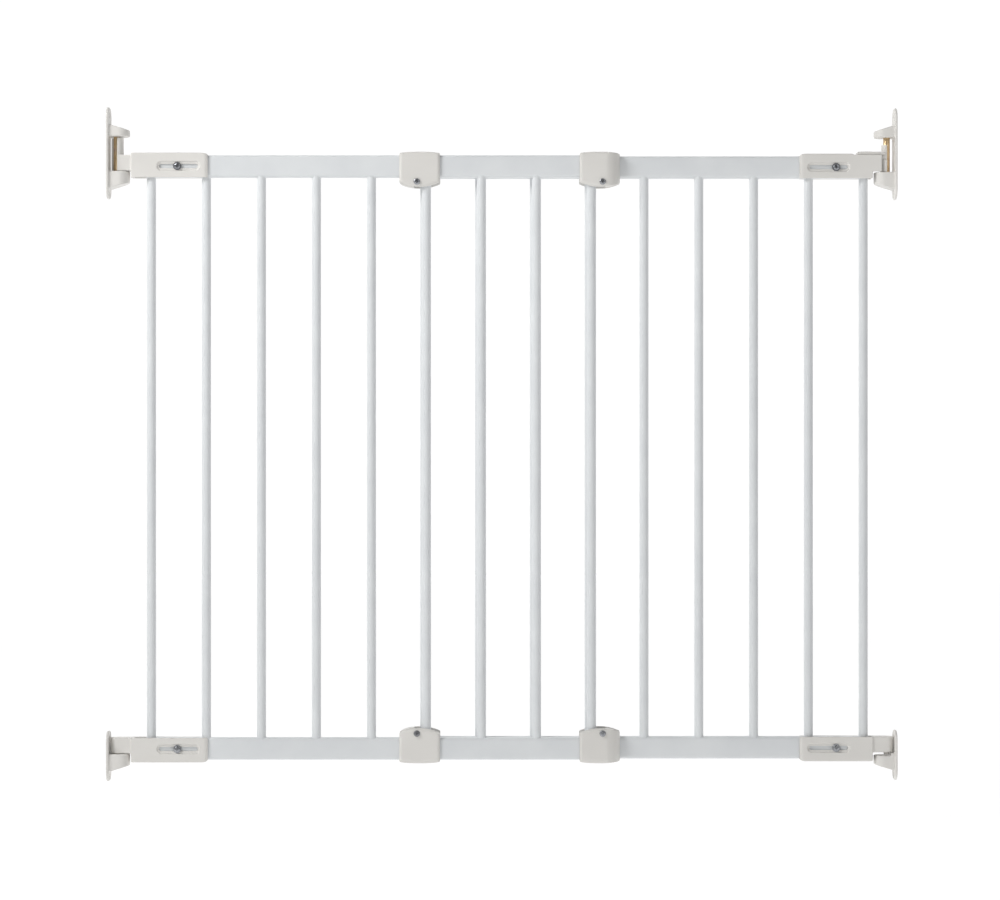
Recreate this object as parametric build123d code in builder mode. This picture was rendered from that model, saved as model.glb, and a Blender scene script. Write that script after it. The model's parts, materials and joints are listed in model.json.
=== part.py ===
"""Wall-mounted extending safety gate: two barred steel panels that slide in each other,
clamped by plastic collars, hung on wall brackets with steel pins and closed by a sliding latch.

Frame: origin at the centre of the lower hinge bracket's back face, on the wall.
+X runs along the closed gate from the hinge wall to the latch wall, +Z is up,
and the front of the gate faces -Y. Millimetres.
"""

import os

from build123d import *

os.makedirs("parts", exist_ok=True)

# ---------------------------------------------------------------- driving dimensions
opening_width = 948.0       # wall face to wall face
panel_height = 725.0        # underside of the bottom rail to the top of the top rail
lower_rail_z = 9.0          # centre of the bottom rails above the origin

rail_height = 27.0          # rectangular rail tube
rail_depth = 12.0
rail_wall = 1.2
rail_corner = 4.0
rail_gap = 1.0              # between the front panel's rails and the back panel's

bar_diameter = 11.0         # round bar tube
bar_wall = 1.0
bar_pitch = 66.0
bar_count = 9               # bars in each panel
front_first_bar_x = 52.8
latch_last_bar_inset = 39.6     # last back bar's centre to the latch wall
rail_end_margin = 1.0       # rail beyond its outermost bar, at the fitting end

slip = 0.3                  # sliding clearance of plastic on a rail, all round
bar_clearance = 0.8         # a collar's lugs to the bars that slide through them

plate_thickness = 3.0       # wall plate of every bracket
plate_width = 32.0
plate_corner = 13.0
plate_below_rail = 39.0     # plate's lower end, below the rail's centre
tall_plate_above_rail = 71.0    # plate's upper end on the two tall brackets
short_plate_above_rail = 21.0   # and on the two short ones
bracket_reach = 27.0        # how far the cup and the hood stand out from the wall
bracket_nose_width = 26.0
cup_top = -6.0              # all four from the rail's centre
cup_lip_bottom = -20.0
cup_root_bottom = -28.0
hood_bottom = 35.4
hood_lip_top = 43.0
hood_root_top = 51.0
wall_hole_radius = 2.4
wall_hole_head_radius = 4.4
wall_hole_low = -33.5       # from the rail's centre
tall_wall_hole_high = 62.0
short_wall_hole_high = 12.0

pin_diameter = 8.0          # steel pin that the gate turns on
pin_inset = 11.5            # pin axis to the wall
pin_seat = 6.0              # pin sunk into the cup and into the hood
pin_running_gap = 0.08      # radial clearance of a knuckle on its pin
stub_pin_rise = 13.0        # lower hinge pin above the cup
knuckle_radius = 8.0
knuckle_bottom = -5.5
clip_top = 34.4             # top of the open clip on the upper pin
eye_top = 13.5              # top of the closed eye on the lower pin
clip_mouth_start = 153.0    # the clip is open between these angles, towards the wall and front
clip_mouth_end = 277.0

sleeve_length = 92.0        # end fitting along the rail
sleeve_wall = 3.5           # front wall, which holds the slot
sleeve_back_wall = 2.4
sleeve_top_wall = 2.4
sleeve_start = 29.0         # full-height part of the fitting, from the wall
sleeve_cavity_start = 33.0
slot_length = 46.0
slot_width = 4.8
slot_recess_length = 51.0
slot_recess_width = 11.0
slot_recess_depth = 1.6
slot_inset = 9.5            # slot's end to the sleeve's free end
hinge_screw_x = 84.6        # adjusting screw on the hinge side
latch_screw_inset = 73.0    # adjusting screw on the latch side, from the latch wall

collar_width = 48.6
collar_wall = 3.5
collar_top_wall = 3.4
collar_lug_drop = 6.0       # lug below the rail, at the corners
collar_lug_belly = 11.4     # and at the middle of its arc
collar_side_bevel_x = 15.5  # slanted side over the shorter rail's end
collar_side_bevel_y = 14.0
collar_rail_stop = 31.0     # depth of the blind pocket for the shorter rail
collar_screw_inset = 27.5   # clamp screw from the collar's open end
collar_screw_drop = 5.2     # clamp screw below the rail
left_collar_end_x = 399.0   # open end of the left collars
right_collar_start_x = 566.4    # open end of the right collars

shank_radius = 2.0          # adjusting screws and clamp screws
head_radius = 3.9
head_height = 2.4
washer_radius = 4.9
washer_thickness = 0.8
nut_across_flats = 7.0
nut_height = 3.2
thread_gap = 0.1            # shank to its hole

catch_gap = 5.5             # notch beside the thumb piece: the latch's travel
catch_length = 33.0
catch_height = 3.6
catch_floor_wall = 1.2      # cover left under the thumb piece
catch_clearance = 0.1
catch_setback = 3.0         # thumb piece's end, short of the pin's axis
jaw_top = 27.0
jaw_step = 9.0              # the jaw is thinner above this height
jaw_thin_radius = 6.4
cheek_inset = 18.0          # end of the upper latch fitting's cheek, from the latch wall
cheek_gap = 0.3             # cheek to the jaw behind it
nub_radius = 3.6            # nub under the lower latch fitting
nub_drop = 2.6
groove_gap = 0.6
end_block_seat = 0.5        # lower latch block sunk into its sleeve
latch_sleeve_shorter = 4.0  # the latch side's fitting, against the hinge side's

bracket_edge = 1.2          # rounded and bevelled edges
collar_arc_bevel = 2.2
collar_corner = 1.6
collar_top_edge = 1.2
sleeve_free_edge = 2.6
sleeve_cover_edge = 1.5
catch_edge = 1.2
pin_bevel = 0.5
head_edge = 1.1
recess_width = 0.9          # cross recess in every screw head
recess_length = 4.4
recess_depth = 1.4
screw_end_proud = 0.5       # screw beyond its nut
cut_over = 1.0              # cutting tools start this far outside the material

# ---------------------------------------------------------------- derived positions
upper_rail_z = lower_rail_z + panel_height - rail_height
half_rail = rail_height / 2
front_y = 0.0                                   # centre plane of the front panel
back_y = rail_depth + rail_gap                  # centre plane of the back panel
hinge_pin_x = pin_inset
latch_pin_x = opening_width - pin_inset
front_bars_x = [front_first_bar_x + i * bar_pitch for i in range(bar_count)]
last_back_bar_x = opening_width - latch_last_bar_inset
back_bars_x = [last_back_bar_x - (bar_count - 1 - i) * bar_pitch for i in range(bar_count)]
front_rail_start = front_first_bar_x - bar_diameter / 2 - rail_end_margin
front_rail_end = right_collar_start_x + collar_rail_stop - slip
back_rail_start = left_collar_end_x - collar_rail_stop + slip
back_rail_end = last_back_bar_x + bar_diameter / 2 + rail_end_margin
latch_screw_x = opening_width - latch_screw_inset
hinge_slot_end = sleeve_start + sleeve_length - slot_inset
latch_sleeve_free = opening_width - sleeve_start - sleeve_length + latch_sleeve_shorter
latch_slot_start = latch_sleeve_free + slot_inset
slot_centres = (hinge_slot_end - slot_recess_length / 2,
                latch_slot_start + slot_recess_length / 2)


def wall_side(x_from_wall, latch_side):
    """X of a point at this distance from the hinge wall, or from the latch wall."""
    return opening_width - x_from_wall if latch_side else x_from_wall


def outward(latch_side):
    """Direction along X from the wall into the opening."""
    return -1 if latch_side else 1


# ---------------------------------------------------------------- wall brackets
def gusset_block(wall_x, gate_y, rail_z, side, corners):
    """Solid of this upright outline, standing out from the wall to a round nose."""
    profile = Plane(origin=(wall_x, gate_y, rail_z), x_dir=(side, 0, 0), z_dir=(0, -side, 0))
    nose_plan = Plane(origin=(wall_x, gate_y, rail_z), x_dir=(side, 0, 0), z_dir=(0, 0, side))
    nose_radius = bracket_nose_width / 2
    nose_flat = bracket_reach - nose_radius
    tallest = tall_plate_above_rail + plate_below_rail
    with BuildPart() as block:
        with BuildSketch(profile):
            with BuildLine():
                Polyline(*corners, close=True)
            make_face()
        extrude(amount=nose_radius, both=True)
        with BuildSketch(nose_plan):
            with Locations((nose_flat / 2, 0)):
                Rectangle(nose_flat, bracket_nose_width)
            with Locations((nose_flat, 0)):
                Circle(nose_radius)
        extrude(amount=tallest, both=True, mode=Mode.INTERSECT)
        top_rim = block.faces().sort_by(Axis.Z)[-1].edges()
        low_rim = block.faces().sort_by(Axis.Z)[0].edges()
        soft = [e for e in top_rim + low_rim if abs(e.center().X - wall_x) > plate_thickness]
        fillet(soft, bracket_edge)
    return block.part


def make_bracket(name, rail_z, gate_y, latch_side, tall):
    """Wall plate with a gusseted cup under the fitting and, on the tall one, a hood above it."""
    plate_top = tall_plate_above_rail if tall else short_plate_above_rail
    hole_high = tall_wall_hole_high if tall else short_wall_hole_high
    plate_height = plate_top + plate_below_rail
    side = outward(latch_side)
    wall_x = wall_side(0, latch_side)
    pin_x = wall_side(pin_inset, latch_side)
    wall = Plane(origin=(wall_x, gate_y, rail_z), x_dir=(0, side, 0), z_dir=(side, 0, 0))
    centre = (plate_top - plate_below_rail) / 2
    cup = gusset_block(wall_x, gate_y, rail_z, side,
                       [(0, cup_root_bottom), (bracket_reach, cup_lip_bottom),
                        (bracket_reach, cup_top), (0, cup_top)])
    hood = gusset_block(wall_x, gate_y, rail_z, side,
                        [(0, hood_bottom), (bracket_reach, hood_bottom),
                         (bracket_reach, hood_lip_top), (0, hood_root_top)])
    with BuildPart() as bracket:
        with BuildSketch(wall):
            with Locations((0, centre)):
                RectangleRounded(plate_width, plate_height, plate_corner)
        extrude(amount=plate_thickness)
        rim = bracket.faces().sort_by(Axis.X)[-1 if side > 0 else 0].outer_wire()
        fillet(rim.edges(), bracket_edge)
        add(cup)
        if tall:
            add(hood)
        if tall or not latch_side:
            with BuildSketch(Plane(origin=(pin_x, gate_y, rail_z + cup_top - pin_seat))):
                Circle(pin_diameter / 2)
            extrude(amount=pin_seat, mode=Mode.SUBTRACT)
        else:
            # step in the cup that the lower fitting's nub slides over, open at the nose
            step_from = pin_inset - nub_radius - groove_gap
            step_to = bracket_reach + cut_over
            step_x = wall_side((step_from + step_to) / 2, latch_side)
            with BuildSketch(Plane(origin=(step_x, gate_y - bracket_nose_width / 2, rail_z + cup_top),
                                   x_dir=(1, 0, 0), z_dir=(0, 1, 0))):
                Rectangle(step_to - step_from, 2 * (nub_drop + groove_gap))
            extrude(amount=bracket_nose_width, mode=Mode.SUBTRACT)
        if tall:
            with BuildSketch(Plane(origin=(pin_x, gate_y, rail_z + hood_bottom))):
                Circle(pin_diameter / 2)
            extrude(amount=pin_seat, mode=Mode.SUBTRACT)
        for height in (wall_hole_low, hole_high):
            hole_face = Plane(origin=(wall_x + side * plate_thickness, gate_y, rail_z + height),
                              x_dir=(0, side, 0), z_dir=(side, 0, 0))
            with Locations(hole_face):
                CounterSinkHole(wall_hole_radius, wall_hole_head_radius, plate_thickness, 90)
    bracket.part.label = name
    export_step(bracket.part, f"parts/{name}.step")


make_bracket("hinge_top_bracket", upper_rail_z, front_y, False, True)
make_bracket("hinge_bottom_bracket", lower_rail_z, front_y, False, False)
make_bracket("latch_top_bracket", upper_rail_z, back_y, True, True)
make_bracket("latch_bottom_bracket", lower_rail_z, back_y, True, False)


def make_pin(name, x, y, bottom, top):
    """Steel pin with lightly chamfered ends, seated in the bracket."""
    with BuildPart() as pin:
        with BuildSketch(Plane(origin=(x, y, bottom))):
            Circle(pin_diameter / 2)
        extrude(amount=top - bottom)
        chamfer(pin.edges().filter_by(GeomType.CIRCLE), pin_bevel)
    pin.part.label = name
    export_step(pin.part, f"parts/{name}.step")


pin_low = cup_top - pin_seat
make_pin("hinge_top_pin", hinge_pin_x, front_y, upper_rail_z + pin_low,
         upper_rail_z + hood_bottom + pin_seat)
make_pin("latch_top_pin", latch_pin_x, back_y, upper_rail_z + pin_low,
         upper_rail_z + hood_bottom + pin_seat)
make_pin("hinge_bottom_pin", hinge_pin_x, front_y, lower_rail_z + pin_low,
         lower_rail_z + cup_top + stub_pin_rise)


# ---------------------------------------------------------------- panels
def make_rail(name, start, end, y, z, hole_x):
    """Rectangular tube with rounded corners and one cross hole for the adjusting screw."""
    with BuildPart() as rail:
        with BuildSketch(Plane(origin=(start, y, z), x_dir=(0, 1, 0), z_dir=(1, 0, 0))):
            RectangleRounded(rail_depth, rail_height, rail_corner)
            RectangleRounded(rail_depth - 2 * rail_wall, rail_height - 2 * rail_wall,
                             rail_corner - rail_wall, mode=Mode.SUBTRACT)
        extrude(amount=end - start)
        with BuildSketch(Plane(origin=(hole_x, y - rail_depth, z), x_dir=(1, 0, 0), z_dir=(0, 1, 0))):
            Circle(shank_radius + thread_gap)
        extrude(amount=2 * rail_depth, mode=Mode.SUBTRACT)
    rail.part.label = name
    export_step(rail.part, f"parts/{name}.step")


def make_bar(name, x, y):
    """Round tube standing between the two rails of its panel."""
    with BuildPart() as bar:
        with BuildSketch(Plane(origin=(x, y, lower_rail_z + half_rail))):
            Circle(bar_diameter / 2)
            Circle(bar_diameter / 2 - bar_wall, mode=Mode.SUBTRACT)
        extrude(amount=upper_rail_z - lower_rail_z - rail_height)
    bar.part.label = name
    export_step(bar.part, f"parts/{name}.step")


for level, rail_z in (("top", upper_rail_z), ("bottom", lower_rail_z)):
    make_rail(f"front_{level}_rail", front_rail_start, front_rail_end, front_y, rail_z, hinge_screw_x)
    make_rail(f"back_{level}_rail", back_rail_start, back_rail_end, back_y, rail_z, latch_screw_x)

for number, bar_x in enumerate(front_bars_x, start=1):
    make_bar(f"front_bar_{number}", bar_x, front_y)
for number, bar_x in enumerate(back_bars_x, start=1):
    make_bar(f"back_bar_{number}", bar_x, back_y)


# ---------------------------------------------------------------- collars
collar_front_y = front_y - rail_depth / 2 - slip - collar_wall
collar_depth = 2 * rail_depth + rail_gap + 2 * slip + 2 * collar_wall
collar_mid_y = collar_front_y + collar_depth / 2


def collar_screw_x(right):
    """X of the clamp screw, measured from the collar's open end."""
    if right:
        return right_collar_start_x + collar_screw_inset
    return left_collar_end_x - collar_screw_inset


def make_collar(name, right, up, rail_z):
    """Clamp collar over both rails: closed over the shorter rail's end, open to the bars.

    It is drawn with its open end at the left and its lugs hanging down, in its own plane,
    so the left collars are the same piece turned half round and the bottom ones are upended.
    """
    if right:
        plane = Plane(origin=(right_collar_start_x, collar_mid_y, rail_z), x_dir=(1, 0, 0), z_dir=(0, 0, 1))
    else:
        plane = Plane(origin=(left_collar_end_x, collar_mid_y, rail_z), x_dir=(-1, 0, 0), z_dir=(0, 0, 1))
    top = half_rail + slip + collar_top_wall
    low = -half_rail - collar_lug_drop
    belly = -half_rail - collar_lug_belly
    near_y = -collar_depth / 2
    with BuildPart() as collar:
        with BuildSketch(Plane.XZ.offset(-near_y)):
            with BuildLine():
                Polyline((0, low), (0, top), (collar_width, top), (collar_width, low))
                ThreePointArc((0, low), (collar_width / 2, belly), (collar_width, low))
            make_face()
        extrude(amount=-collar_depth)
        chamfer(collar.edges().filter_by(GeomType.CIRCLE), collar_arc_bevel)
        # plan outline, with its side slanted over the end of the near rail
        with BuildSketch(Plane.XY.offset(belly - cut_over)) as plan:
            with BuildLine():
                Polyline((0, near_y), (collar_width - collar_side_bevel_x, near_y),
                         (collar_width, near_y + collar_side_bevel_y), (collar_width, -near_y),
                         (0, -near_y), close=True)
            make_face()
            fillet(plan.vertices(), collar_corner)
        extrude(amount=top - belly + 2 * cut_over, mode=Mode.INTERSECT)
        fillet(collar.faces().sort_by(Axis.Z)[-1].edges(), collar_top_edge)
        # blind pocket for the near rail and a through pocket for the far one; below the rails
        # the same two channels clear the bars, and the lugs are open underneath
        pocket_top = half_rail + slip
        rail_channel = rail_depth / 2 + slip
        bar_channel = bar_diameter / 2 + bar_clearance
        rail_y = (rail_depth + rail_gap) / 2
        for channel, from_z, to_z in ((rail_channel, pocket_top, -half_rail),
                                      (bar_channel, -half_rail, belly - cut_over)):
            with BuildSketch(Plane.XY.offset(from_z)):
                with Locations((collar_rail_stop / 2, 0)):
                    Rectangle(collar_rail_stop, 2 * (rail_y + channel))
                with Locations((collar_width / 2, rail_y)):
                    Rectangle(collar_width, 2 * channel)
            extrude(amount=to_z - from_z, mode=Mode.SUBTRACT)
        with BuildSketch(Plane(origin=(collar_screw_inset, near_y - cut_over, -half_rail - collar_screw_drop),
                               x_dir=(1, 0, 0), z_dir=(0, 1, 0))):
            Circle(shank_radius + thread_gap)
        extrude(amount=collar_depth + 2 * cut_over, mode=Mode.SUBTRACT)
    if not up:
        placed = plane.location * mirror(collar.part, about=Plane.XY)
    else:
        placed = plane.location * collar.part
    placed.label = name
    export_step(placed, f"parts/{name}.step")


for side_name, is_right in (("left", False), ("right", True)):
    make_collar(f"{side_name}_top_collar", is_right, True, upper_rail_z)
    make_collar(f"{side_name}_bottom_collar", is_right, False, lower_rail_z)


# ---------------------------------------------------------------- end fittings
def sleeve_block(gate_y, rail_z, up, latch_side):
    """Solid channel over the rail's end, its slot cut through both walls."""
    side = outward(latch_side)
    level = 1 if up else -1
    free_end = latch_sleeve_free if latch_side else sleeve_start + sleeve_length
    wall_end = wall_side(sleeve_start, latch_side)
    start, end = sorted((free_end, wall_end))
    front = gate_y - rail_depth / 2 - slip - sleeve_wall
    back = gate_y + rail_depth / 2 + slip + sleeve_back_wall
    cover = half_rail + slip + sleeve_top_wall
    with BuildPart() as sleeve:
        with BuildSketch(Plane(origin=(start, (front + back) / 2, rail_z + level * (cover - half_rail) / 2),
                               x_dir=(0, 1, 0), z_dir=(1, 0, 0))):
            Rectangle(back - front, cover + half_rail)
        extrude(amount=end - start)
        free_face = sleeve.faces().sort_by(Axis.X)[-1 if side > 0 else 0]
        fillet(free_face.edges().filter_by(Axis.Z), sleeve_free_edge)
        cover_face = sleeve.faces().sort_by(Axis.Z)[-1 if up else 0]
        fillet(cover_face.edges(), sleeve_cover_edge)
        cavity_start = start - cut_over if latch_side else sleeve_cavity_start
        cavity_end = end + cut_over
        reach = cover + 2 * cut_over
        with BuildSketch(Plane(origin=(cavity_start, gate_y, rail_z + level * (half_rail + slip - reach)),
                               x_dir=(0, 1, 0), z_dir=(1, 0, 0))):
            Rectangle(rail_depth + 2 * slip, 2 * reach)
        extrude(amount=cavity_end - cavity_start, mode=Mode.SUBTRACT)
        slot_x = slot_centres[1 if latch_side else 0]
        with BuildSketch(Plane(origin=(slot_x, front - cut_over, rail_z), x_dir=(1, 0, 0), z_dir=(0, 1, 0))):
            SlotOverall(slot_recess_length, slot_recess_width)
        extrude(amount=cut_over + slot_recess_depth, mode=Mode.SUBTRACT)
        with BuildSketch(Plane(origin=(slot_x, front - cut_over, rail_z), x_dir=(1, 0, 0), z_dir=(0, 1, 0))):
            SlotOverall(slot_length, slot_width)
        extrude(amount=back - front + 2 * cut_over, mode=Mode.SUBTRACT)
    return sleeve.part


def make_hinge_end(name, rail_z, up):
    """End fitting on the hinge side: sleeve, neck and a knuckle that turns on the pin."""
    sleeve = sleeve_block(front_y, rail_z, up, False)
    knuckle_top = clip_top if up else eye_top
    neck_top = half_rail if up else eye_top
    bore = pin_diameter / 2 + pin_running_gap
    with BuildPart() as fitting:
        add(sleeve)
        with BuildSketch(Plane(origin=(hinge_pin_x, front_y, rail_z + knuckle_bottom))):
            Circle(knuckle_radius)
        extrude(amount=knuckle_top - knuckle_bottom)
        with BuildSketch(Plane(origin=(hinge_pin_x, front_y, rail_z + knuckle_bottom))):
            with Locations(((sleeve_cavity_start - hinge_pin_x) / 2, 0)):
                Rectangle(sleeve_cavity_start - hinge_pin_x, 2 * knuckle_radius)
        extrude(amount=neck_top - knuckle_bottom)
        with BuildSketch(Plane(origin=(hinge_pin_x, front_y, rail_z + knuckle_bottom - cut_over))):
            Circle(bore)
        extrude(amount=knuckle_top - knuckle_bottom + (2 * cut_over if up else -cut_over), mode=Mode.SUBTRACT)
        if up:
            # the clip's mouth, open towards the wall and the front
            mouth_angles = (clip_mouth_start, (clip_mouth_start + clip_mouth_end) / 2, clip_mouth_end)
            mouth_rim = [Vector(3 * knuckle_radius, 0).rotate(Axis.Z, angle) for angle in mouth_angles]
            with BuildSketch(Plane(origin=(hinge_pin_x, front_y, rail_z + knuckle_bottom - cut_over))):
                with BuildLine():
                    Polyline((0, 0), *mouth_rim, close=True)
                make_face()
            extrude(amount=knuckle_top - knuckle_bottom + 2 * cut_over, mode=Mode.SUBTRACT)
    fitting.part.label = name
    export_step(fitting.part, f"parts/{name}.step")


make_hinge_end("hinge_top_end", upper_rail_z, True)
make_hinge_end("hinge_bottom_end", lower_rail_z, False)

catch_start = latch_pin_x - catch_setback - catch_length
top_sleeve = sleeve_block(back_y, upper_rail_z, True, True)
bottom_sleeve = sleeve_block(back_y, lower_rail_z, False, True)

with BuildPart() as latch_top_end:
    add(top_sleeve)
    # step that the thumb piece slides along
    step_start = catch_start - catch_gap
    with BuildSketch(Plane(origin=(step_start, back_y, upper_rail_z + half_rail + slip + catch_floor_wall))):
        with Locations((opening_width / 2 - step_start / 2, 0)):
            Rectangle(opening_width - step_start, 4 * rail_depth)
    extrude(amount=4 * sleeve_top_wall, mode=Mode.SUBTRACT)
    # cheek that carries the front wall on past the slider's jaw, short of the pin
    cheek_front = back_y - rail_depth / 2 - slip - sleeve_wall
    cheek_back = back_y - knuckle_radius - cheek_gap
    cheek_start = opening_width - sleeve_start - sleeve_wall
    cheek_end = opening_width - cheek_inset
    with BuildSketch(Plane(origin=((cheek_start + cheek_end) / 2, (cheek_front + cheek_back) / 2,
                                   upper_rail_z + knuckle_bottom))):
        Rectangle(cheek_end - cheek_start, cheek_back - cheek_front)
    extrude(amount=half_rail + slip + catch_floor_wall - knuckle_bottom)
latch_top_end.part.label = "latch_top_end"
export_step(latch_top_end.part, "parts/latch_top_end.step")

end_block_start = opening_width - sleeve_start - end_block_seat
with BuildPart() as latch_bottom_end:
    add(bottom_sleeve)
    with BuildSketch(Plane(origin=(latch_pin_x, back_y, lower_rail_z + knuckle_bottom))):
        Circle(knuckle_radius)
        with Locations(((end_block_start - latch_pin_x) / 2, 0)):
            Rectangle(latch_pin_x - end_block_start, 2 * knuckle_radius)
    extrude(amount=eye_top - knuckle_bottom)
    with BuildSketch(Plane(origin=(latch_pin_x, back_y, lower_rail_z + knuckle_bottom - nub_drop))):
        Circle(nub_radius)
    extrude(amount=nub_drop)
latch_bottom_end.part.label = "latch_bottom_end"
export_step(latch_bottom_end.part, "parts/latch_bottom_end.step")

# sliding latch: thumb piece on top, jaw in front of the wall pin
catch_floor = upper_rail_z + half_rail + slip + catch_floor_wall + catch_clearance
with BuildPart() as latch_slider:
    with BuildSketch(Plane(origin=(catch_start, back_y, catch_floor))):
        with Locations((catch_length / 2, 0)):
            Rectangle(catch_length, 2 * knuckle_radius)
    extrude(amount=catch_height)
    fillet(latch_slider.faces().sort_by(Axis.Z)[-1].edges(), catch_edge)
    jaw_low = upper_rail_z + knuckle_bottom
    with BuildSketch(Plane(origin=(latch_pin_x, back_y, jaw_low))):
        Circle(knuckle_radius)
    extrude(amount=jaw_step - knuckle_bottom)
    with BuildSketch(Plane(origin=(latch_pin_x, back_y, jaw_low))):
        Circle(jaw_thin_radius)
    extrude(amount=jaw_top - knuckle_bottom)
    with BuildSketch(Plane(origin=(latch_pin_x, back_y, jaw_low - cut_over))):
        with Locations((knuckle_radius, 0)):
            Rectangle(2 * knuckle_radius, 4 * knuckle_radius)
        Circle(pin_diameter / 2 + 2 * pin_running_gap)
    extrude(amount=jaw_top - knuckle_bottom + 2 * cut_over, mode=Mode.SUBTRACT)
latch_slider.part.label = "latch_slider"
export_step(latch_slider.part, "parts/latch_slider.step")


# ---------------------------------------------------------------- fasteners
def screw_with_nut(head_face_y, nut_face_y, x, z, washer):
    """Solids of one cross bolt: pan-head screw, optional washer and hexagon nut."""
    seat = head_face_y - (washer_thickness if washer else 0)
    with BuildPart() as screw:
        with BuildSketch(Plane(origin=(x, seat - head_height, z), x_dir=(1, 0, 0), z_dir=(0, 1, 0))):
            Circle(head_radius)
        extrude(amount=head_height)
        fillet(screw.edges().sort_by(Axis.Y)[0], head_edge)
        with BuildSketch(Plane(origin=(x, seat - head_height, z), x_dir=(1, 0, 0), z_dir=(0, 1, 0))):
            Rectangle(recess_width, recess_length)
            Rectangle(recess_length, recess_width)
        extrude(amount=recess_depth, mode=Mode.SUBTRACT)
        with BuildSketch(Plane(origin=(x, seat, z), x_dir=(1, 0, 0), z_dir=(0, 1, 0))):
            Circle(shank_radius)
        extrude(amount=nut_face_y + nut_height + screw_end_proud - seat)
    with BuildPart() as nut:
        with BuildSketch(Plane(origin=(x, nut_face_y, z), x_dir=(1, 0, 0), z_dir=(0, 1, 0))):
            RegularPolygon(nut_across_flats / 2, 6, major_radius=False)
            Circle(shank_radius, mode=Mode.SUBTRACT)
        extrude(amount=nut_height)
    if not washer:
        return screw.part, nut.part, None
    with BuildPart() as disc:
        with BuildSketch(Plane(origin=(x, seat, z), x_dir=(1, 0, 0), z_dir=(0, 1, 0))):
            Circle(washer_radius)
            Circle(shank_radius, mode=Mode.SUBTRACT)
        extrude(amount=washer_thickness)
    return screw.part, nut.part, disc.part


def export_group(name, solids):
    """Write identical pieces as one node of separate solids."""
    group = Compound(label=name, children=list(solids))
    export_step(group, f"parts/{name}.step")


for prefix, gate_y, screw_x in (("hinge_end", front_y, hinge_screw_x), ("latch_end", back_y, latch_screw_x)):
    recess_y = gate_y - rail_depth / 2 - slip - sleeve_wall + slot_recess_depth
    back_face_y = gate_y + rail_depth / 2 + slip + sleeve_back_wall
    sets = [screw_with_nut(recess_y, back_face_y, screw_x, z, True) for z in (upper_rail_z, lower_rail_z)]
    export_group(f"{prefix}_screws", [s[0] for s in sets])
    export_group(f"{prefix}_nuts", [s[1] for s in sets])
    export_group(f"{prefix}_washers", [s[2] for s in sets])

for side_name, is_right in (("left", False), ("right", True)):
    screw_x = collar_screw_x(is_right)
    heights = (upper_rail_z - half_rail - collar_screw_drop, lower_rail_z + half_rail + collar_screw_drop)
    sets = [screw_with_nut(collar_front_y, collar_front_y + collar_depth, screw_x, z, False) for z in heights]
    export_group(f"{side_name}_collar_screws", [s[0] for s in sets])
    export_group(f"{side_name}_collar_nuts", [s[1] for s in sets])
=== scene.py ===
"""Looks of a wall-mounted extending safety gate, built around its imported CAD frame.

Metres. +X runs along the closed gate from the hinge wall to the latch wall, +Z is up and the
front of the gate faces -Y. Every piece rides on the body of the CAD node that it stands for.
"""

import json
import logging
import math
from dataclasses import dataclass, field
from enum import Enum
from typing import Any, Iterable, Sequence

import bmesh
import bpy
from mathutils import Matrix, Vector

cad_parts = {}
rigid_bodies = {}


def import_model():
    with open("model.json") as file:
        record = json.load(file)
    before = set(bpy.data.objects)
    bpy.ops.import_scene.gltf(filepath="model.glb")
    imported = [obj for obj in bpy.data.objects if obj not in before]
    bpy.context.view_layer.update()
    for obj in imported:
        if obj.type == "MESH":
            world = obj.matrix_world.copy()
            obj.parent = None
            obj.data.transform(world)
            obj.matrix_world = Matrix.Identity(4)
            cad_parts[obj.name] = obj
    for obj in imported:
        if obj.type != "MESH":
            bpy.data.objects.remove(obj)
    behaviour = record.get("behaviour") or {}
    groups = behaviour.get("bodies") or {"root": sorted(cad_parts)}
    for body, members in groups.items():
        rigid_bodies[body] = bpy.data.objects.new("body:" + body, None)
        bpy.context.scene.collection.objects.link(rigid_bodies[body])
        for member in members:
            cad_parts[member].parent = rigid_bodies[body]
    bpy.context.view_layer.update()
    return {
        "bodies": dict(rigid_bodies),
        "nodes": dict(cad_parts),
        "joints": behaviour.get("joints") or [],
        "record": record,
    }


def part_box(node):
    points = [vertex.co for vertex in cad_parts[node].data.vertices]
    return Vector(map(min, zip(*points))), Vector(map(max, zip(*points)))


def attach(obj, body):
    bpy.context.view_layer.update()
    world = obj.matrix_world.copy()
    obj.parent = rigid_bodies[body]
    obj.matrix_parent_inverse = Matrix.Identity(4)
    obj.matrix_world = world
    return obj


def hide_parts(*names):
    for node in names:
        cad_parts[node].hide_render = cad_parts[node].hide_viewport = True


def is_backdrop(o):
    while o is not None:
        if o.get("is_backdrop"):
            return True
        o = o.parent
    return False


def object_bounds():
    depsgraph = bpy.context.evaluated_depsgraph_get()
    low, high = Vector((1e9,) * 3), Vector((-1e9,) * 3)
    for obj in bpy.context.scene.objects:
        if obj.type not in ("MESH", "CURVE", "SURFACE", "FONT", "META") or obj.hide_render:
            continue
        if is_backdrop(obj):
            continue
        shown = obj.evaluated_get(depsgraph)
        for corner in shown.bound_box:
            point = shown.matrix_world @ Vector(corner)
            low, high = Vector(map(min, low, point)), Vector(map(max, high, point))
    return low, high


logging.basicConfig(level=logging.INFO, format="%(message)s")
log = logging.getLogger("safety_gate")

MM = 0.001


class Body(Enum):
    """Moving groups of the gate, by the names that the record gives them."""

    WALL = "wall_brackets"
    HINGE_ENDS = "hinge_ends"
    FRONT = "front_panel"
    BACK = "back_panel"
    LATCH_ENDS = "latch_ends"
    SLIDER = "latch_slider"


class Slot(Enum):
    """Material slots of the record."""

    STEEL_PAINT = "white_steel"
    PLASTIC = "white_plastic"
    PASSIVATED = "passivated_steel"
    ZINC = "zinc_steel"


# ------------------------------------------------------------------ shader maths


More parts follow.
